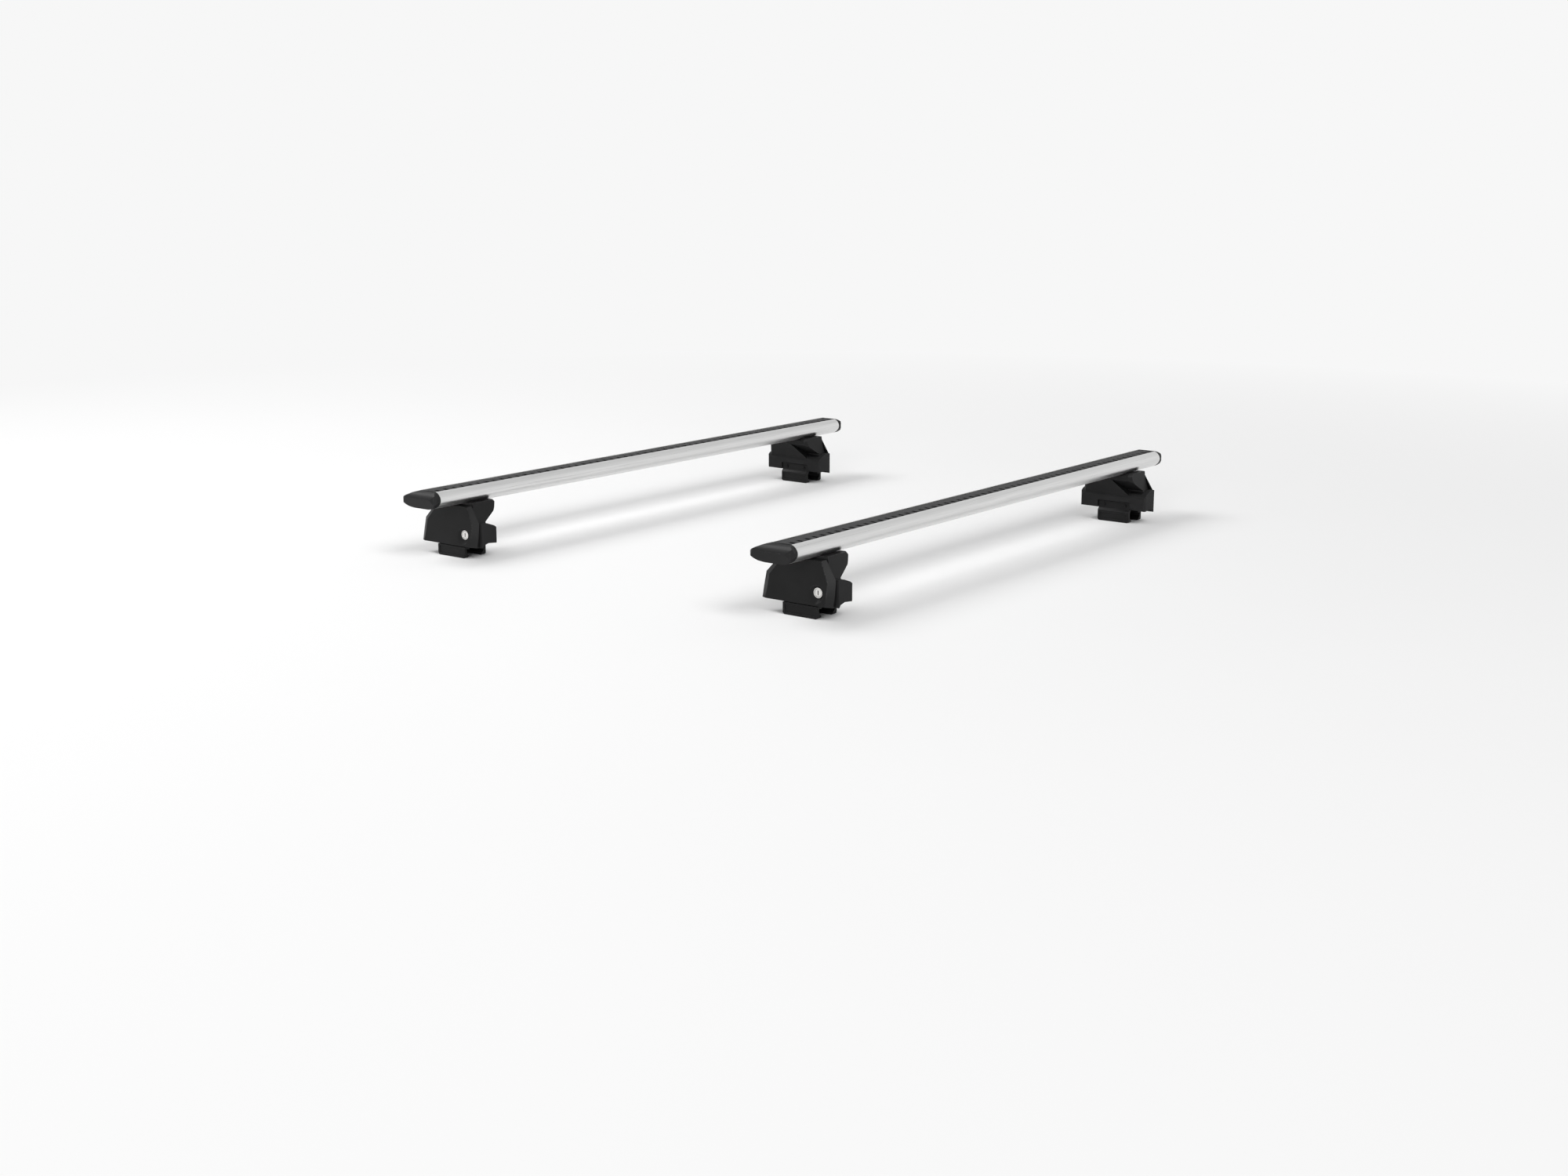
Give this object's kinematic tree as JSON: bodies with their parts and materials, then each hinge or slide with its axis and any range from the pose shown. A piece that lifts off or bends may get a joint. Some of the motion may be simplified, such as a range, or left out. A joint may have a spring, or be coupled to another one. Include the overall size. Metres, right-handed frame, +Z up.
{
  "type": "roof cross bar pair",
  "caption": "Wing-section aluminium roof cross bars with rubber top strips, hinged end caps and lockable clamp feet for raised or flush roof rails.",
  "frame": {"origin": "on the ground plane through the jaw bottoms, under the middle of the pair", "axes": "+X forward, the way the blunt noses point; +Y along the bars to the left-hand side; +Z up"},
  "size_m": [0.818, 1.08, 0.1135],
  "materials": {
    "anodised": "satin silver anodised extrusion",
    "strip_rubber": "charcoal extruded rubber",
    "cap_plastic": "fine-grained black moulding",
    "foot_plastic": "glass-filled black moulding",
    "pad_rubber": "soft black moulded rubber",
    "jaw_metal": "black powder coat on cast metal",
    "bolt_steel": "zinc-plated steel",
    "cover_plastic": "satin black moulding",
    "lock_metal": "nickel-plated lock barrel"
  },
  "bodies": {
    "bars": {"front_bar": "anodised", "front_strip": "strip_rubber", "rear_bar": "anodised", "rear_strip": "strip_rubber", "front_right_cap_frame": "cap_plastic", "front_left_cap_frame": "cap_plastic", "rear_right_cap_frame": "cap_plastic", "rear_left_cap_frame": "cap_plastic"},
    "front_right_foot": {"front_right_base": "foot_plastic", "front_right_pad": "pad_rubber", "front_right_jaw_inner": "jaw_metal", "front_right_nut": "bolt_steel", "front_right_slot_plate": "bolt_steel"},
    "front_right_jaw": {"front_right_jaw_outer": "jaw_metal"},
    "front_right_bolt": {"front_right_bolt": "bolt_steel"},
    "front_right_cover": {"front_right_cover": "cover_plastic", "front_right_lock_sleeve": "lock_metal"},
    "front_right_lock": {"front_right_lock_core": "lock_metal"},
    "front_right_lid": {"front_right_cap_lid": "cap_plastic"},
    "front_left_foot": {"front_left_base": "foot_plastic", "front_left_pad": "pad_rubber", "front_left_jaw_inner": "jaw_metal", "front_left_nut": "bolt_steel", "front_left_slot_plate": "bolt_steel"},
    "front_left_jaw": {"front_left_jaw_outer": "jaw_metal"},
    "front_left_bolt": {"front_left_bolt": "bolt_steel"},
    "front_left_cover": {"front_left_cover": "cover_plastic", "front_left_lock_sleeve": "lock_metal"},
    "front_left_lock": {"front_left_lock_core": "lock_metal"},
    "front_left_lid": {"front_left_cap_lid": "cap_plastic"},
    "rear_right_foot": {"rear_right_base": "foot_plastic", "rear_right_pad": "pad_rubber", "rear_right_jaw_inner": "jaw_metal", "rear_right_nut": "bolt_steel", "rear_right_slot_plate": "bolt_steel"},
    "rear_right_jaw": {"rear_right_jaw_outer": "jaw_metal"},
    "rear_right_bolt": {"rear_right_bolt": "bolt_steel"},
    "rear_right_cover": {"rear_right_cover": "cover_plastic", "rear_right_lock_sleeve": "lock_metal"},
    "rear_right_lock": {"rear_right_lock_core": "lock_metal"},
    "rear_right_lid": {"rear_right_cap_lid": "cap_plastic"},
    "rear_left_foot": {"rear_left_base": "foot_plastic", "rear_left_pad": "pad_rubber", "rear_left_jaw_inner": "jaw_metal", "rear_left_nut": "bolt_steel", "rear_left_slot_plate": "bolt_steel"},
    "rear_left_jaw": {"rear_left_jaw_outer": "jaw_metal"},
    "rear_left_bolt": {"rear_left_bolt": "bolt_steel"},
    "rear_left_cover": {"rear_left_cover": "cover_plastic", "rear_left_lock_sleeve": "lock_metal"},
    "rear_left_lock": {"rear_left_lock_core": "lock_metal"},
    "rear_left_lid": {"rear_left_cap_lid": "cap_plastic"}
  },
  "joints": [
    {"name": "front_right_foot_slide", "type": "slide", "parent": "bars", "child": "front_right_foot", "axis": [0, 1, 0], "range_m": [0, 0.15]},
    {"name": "front_right_jaw_slide", "type": "slide", "parent": "front_right_foot", "child": "front_right_jaw", "axis": [0, -1, 0], "range_m": [0, 0.005]},
    {"name": "front_right_bolt_turn", "type": "hinge", "parent": "front_right_jaw", "child": "front_right_bolt", "pos_m": [0.35, -0.46, 0.0435], "axis": [0, -1, 0], "range_deg": [0, 1800]},
    {"name": "front_right_cover_pull", "type": "slide", "parent": "front_right_foot", "child": "front_right_cover", "axis": [0, -1, 0], "range_m": [0, 0.04]},
    {"name": "front_right_lock_turn", "type": "hinge", "parent": "front_right_cover", "child": "front_right_lock", "pos_m": [0.3794, -0.466, 0.0375], "axis": [0, 1, 0], "range_deg": [0, 90]},
    {"name": "front_right_lid_fold", "type": "hinge", "parent": "bars", "child": "front_right_lid", "pos_m": [0.347, -0.5315, 0.0875], "axis": [1, 0, 0], "range_deg": [0, 90]},
    {"name": "front_left_foot_slide", "type": "slide", "parent": "bars", "child": "front_left_foot", "axis": [0, -1, 0], "range_m": [0, 0.15]},
    {"name": "front_left_jaw_slide", "type": "slide", "parent": "front_left_foot", "child": "front_left_jaw", "axis": [0, 1, 0], "range_m": [0, 0.005]},
    {"name": "front_left_bolt_turn", "type": "hinge", "parent": "front_left_jaw", "child": "front_left_bolt", "pos_m": [0.35, 0.46, 0.0435], "axis": [0, 1, 0], "range_deg": [0, 1800]},
    {"name": "front_left_cover_pull", "type": "slide", "parent": "front_left_foot", "child": "front_left_cover", "axis": [0, 1, 0], "range_m": [0, 0.04]},
    {"name": "front_left_lock_turn", "type": "hinge", "parent": "front_left_cover", "child": "front_left_lock", "pos_m": [0.3794, 0.466, 0.0375], "axis": [0, 1, 0], "range_deg": [0, 90]},
    {"name": "front_left_lid_fold", "type": "hinge", "parent": "bars", "child": "front_left_lid", "pos_m": [0.347, 0.5315, 0.0875], "axis": [-1, 0, 0], "range_deg": [0, 90]},
    {"name": "rear_right_foot_slide", "type": "slide", "parent": "bars", "child": "rear_right_foot", "axis": [0, 1, 0], "range_m": [0, 0.15]},
    {"name": "rear_right_jaw_slide", "type": "slide", "parent": "rear_right_foot", "child": "rear_right_jaw", "axis": [0, -1, 0], "range_m": [0, 0.005]},
    {"name": "rear_right_bolt_turn", "type": "hinge", "parent": "rear_right_jaw", "child": "rear_right_bolt", "pos_m": [-0.34, -0.46, 0.0435], "axis": [0, -1, 0], "range_deg": [0, 1800]},
    {"name": "rear_right_cover_pull", "type": "slide", "parent": "rear_right_foot", "child": "rear_right_cover", "axis": [0, -1, 0], "range_m": [0, 0.04]},
    {"name": "rear_right_lock_turn", "type": "hinge", "parent": "rear_right_cover", "child": "rear_right_lock", "pos_m": [-0.3106, -0.466, 0.0375], "axis": [0, 1, 0], "range_deg": [0, 90]},
    {"name": "rear_right_lid_fold", "type": "hinge", "parent": "bars", "child": "rear_right_lid", "pos_m": [-0.343, -0.5315, 0.0875], "axis": [1, 0, 0], "range_deg": [0, 90]},
    {"name": "rear_left_foot_slide", "type": "slide", "parent": "bars", "child": "rear_left_foot", "axis": [0, -1, 0], "range_m": [0, 0.15]},
    {"name": "rear_left_jaw_slide", "type": "slide", "parent": "rear_left_foot", "child": "rear_left_jaw", "axis": [0, 1, 0], "range_m": [0, 0.005]},
    {"name": "rear_left_bolt_turn", "type": "hinge", "parent": "rear_left_jaw", "child": "rear_left_bolt", "pos_m": [-0.34, 0.46, 0.0435], "axis": [0, 1, 0], "range_deg": [0, 1800]},
    {"name": "rear_left_cover_pull", "type": "slide", "parent": "rear_left_foot", "child": "rear_left_cover", "axis": [0, 1, 0], "range_m": [0, 0.04]},
    {"name": "rear_left_lock_turn", "type": "hinge", "parent": "rear_left_cover", "child": "rear_left_lock", "pos_m": [-0.3106, 0.466, 0.0375], "axis": [0, 1, 0], "range_deg": [0, 90]},
    {"name": "rear_left_lid_fold", "type": "hinge", "parent": "bars", "child": "rear_left_lid", "pos_m": [-0.343, 0.5315, 0.0875], "axis": [-1, 0, 0], "range_deg": [0, 90]}
  ],
  "couplings": [
    {"joint": "front_right_bolt_turn", "follows": "front_right_jaw_slide", "rad_per_m": 6283.2},
    {"joint": "front_left_bolt_turn", "follows": "front_left_jaw_slide", "rad_per_m": 6283.2},
    {"joint": "rear_right_bolt_turn", "follows": "rear_right_jaw_slide", "rad_per_m": 6283.2},
    {"joint": "rear_left_bolt_turn", "follows": "rear_left_jaw_slide", "rad_per_m": 6283.2}
  ]
}
